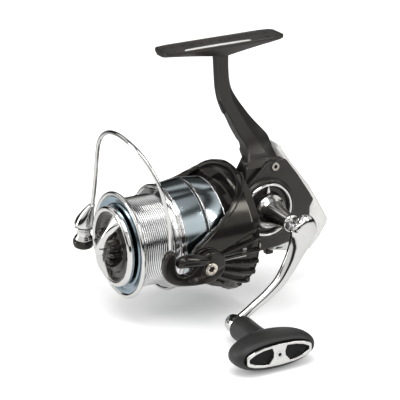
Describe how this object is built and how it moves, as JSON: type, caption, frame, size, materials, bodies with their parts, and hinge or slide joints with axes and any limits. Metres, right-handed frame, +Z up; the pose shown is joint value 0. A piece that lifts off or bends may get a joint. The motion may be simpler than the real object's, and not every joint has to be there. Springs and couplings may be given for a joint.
{
  "type": "spinning reel",
  "caption": "Front-drag spinning fishing reel with foot, skirted spool, rotor with folding bail, line roller, folding crank handle with T-shaped grip, and internal gear train",
  "frame": {"origin": "centre of the flat top face of the foot, where the reel meets the rod", "axes": "+Z up out of the foot towards the rod, main shaft along Y with the spool towards -Y, crank axis along X with the handle on the +X side"},
  "size_m": [0.1283, 0.1202, 0.1259],
  "materials": {
    "black_gloss": "polished",
    "polished_silver": "polished",
    "chrome": "polished",
    "blue_anodised": "polished",
    "steel": "satin",
    "brass": "satin",
    "zinc": "as cast",
    "felt": "dry felt",
    "soft_black": "matt"
  },
  "bodies": {
    "body": {"body_housing": "black_gloss", "side_cover": "black_gloss", "cover_screw_top": "steel", "cover_screw_bottom": "steel", "crank_trim_ring": "chrome", "rear_cover": "polished_silver", "foot_inlay": "polished_silver", "drive_bearing_right": "steel", "drive_bearing_left": "steel", "pinion_bearing": "steel", "clutch_housing": "black_gloss", "clutch_retainer": "steel", "slider_guide_rod": "steel", "anti_reverse_rod": "steel"},
    "anti_reverse": {"anti_reverse_lever": "black_gloss"},
    "crank": {"drive_shaft": "steel", "drive_gear": "zinc", "oscillation_drive_gear": "zinc", "handle_hub": "chrome", "handle_hinge_pin": "steel"},
    "handle_screw": {"handle_screw_cap": "black_gloss"},
    "arm": {"handle_arm": "chrome", "knob_shaft": "steel"},
    "grip": {"knob_bearing_inner": "steel", "knob_bearing_outer": "steel", "knob_screw": "steel", "knob_grip": "soft_black", "knob_cap": "chrome"},
    "osc_gear": {"oscillating_gear": "zinc"},
    "shaft": {"main_shaft": "steel", "oscillation_slider": "zinc", "spool_seat_washer": "steel", "spool_hub_sleeve": "brass"},
    "spool_drum": {"spool": "blue_anodised", "spool_lip_ring": "chrome", "spool_band": "chrome", "drag_washer_lower_felt": "felt", "drag_washer_keyed": "steel", "drag_washer_upper_felt": "felt", "drag_washer_eared": "steel", "drag_retaining_ring": "steel"},
    "drag_knob": {"drag_knob_dish": "black_gloss", "drag_knob_grip": "chrome", "drag_knob_nut": "brass"},
    "rotor_body": {"rotor": "black_gloss", "pinion_gear": "brass", "clutch_sleeve": "steel", "rotor_nut": "brass", "bail_trip_lever": "steel", "bail_spring": "steel", "bail_pivot_screw_near": "steel", "bail_pivot_screw_far": "steel"},
    "bail": {"bail_holder": "black_gloss", "bail_arm_lever": "black_gloss", "line_roller_bushing": "brass", "line_roller_screw": "steel", "bail_cone": "chrome", "bail_wire": "chrome"},
    "roller": {"line_roller": "chrome"}
  },
  "joints": [
    {"name": "handle_crank", "type": "hinge", "parent": "body", "child": "crank", "pos_m": [0, 0.017, -0.0805], "axis": [1, 0, 0], "continuous": true},
    {"name": "rotor_spin", "type": "hinge", "parent": "body", "child": "rotor_body", "pos_m": [0, -0.003, -0.089], "axis": [0, 1, 0], "continuous": true},
    {"name": "osc_gear_spin", "type": "hinge", "parent": "body", "child": "osc_gear", "pos_m": [-0.008, 0.0275, -0.08945], "axis": [1, 0, 0], "continuous": true},
    {"name": "spool_oscillate", "type": "slide", "parent": "body", "child": "shaft", "axis": [0, 1, 0], "range_m": [-0.0125, 0]},
    {"name": "spool_drag_slip", "type": "hinge", "parent": "shaft", "child": "spool_drum", "pos_m": [0, -0.041, -0.089], "axis": [0, 1, 0], "continuous": true},
    {"name": "drag_knob_turn", "type": "hinge", "parent": "shaft", "child": "drag_knob", "pos_m": [0, -0.057, -0.089], "axis": [0, 1, 0], "range_deg": [-360, 720]},
    {"name": "bail_flip", "type": "hinge", "parent": "rotor_body", "child": "bail", "pos_m": [0, -0.025, -0.089], "axis": [0.9877, 0, -0.1564], "range_deg": [0, 100]},
    {"name": "line_roller_spin", "type": "hinge", "parent": "bail", "child": "roller", "pos_m": [-0.03522, -0.0544, -0.09405], "axis": [0.1564, 0, 0.9877], "continuous": true},
    {"name": "handle_fold", "type": "hinge", "parent": "crank", "child": "arm", "pos_m": [0.04, 0.017, -0.0805], "axis": [0, -0.96, 0.28], "range_deg": [0, 90]},
    {"name": "handle_screw_turn", "type": "hinge", "parent": "crank", "child": "handle_screw", "pos_m": [-0.017, 0.017, -0.0805], "axis": [1, 0, 0], "continuous": true},
    {"name": "knob_spin", "type": "hinge", "parent": "arm", "child": "grip", "pos_m": [0.066, -0.0203, -0.1177], "axis": [1, 0, 0], "continuous": true},
    {"name": "anti_reverse_switch", "type": "hinge", "parent": "body", "child": "anti_reverse", "pos_m": [0, 0.026, -0.0992], "axis": [0, 1, 0], "range_deg": [-10, 10]}
  ],
  "couplings": [
    {"joint": "rotor_spin", "follows": "handle_crank", "ratio": 5},
    {"joint": "osc_gear_spin", "follows": "handle_crank", "ratio": -0.5}
  ]
}
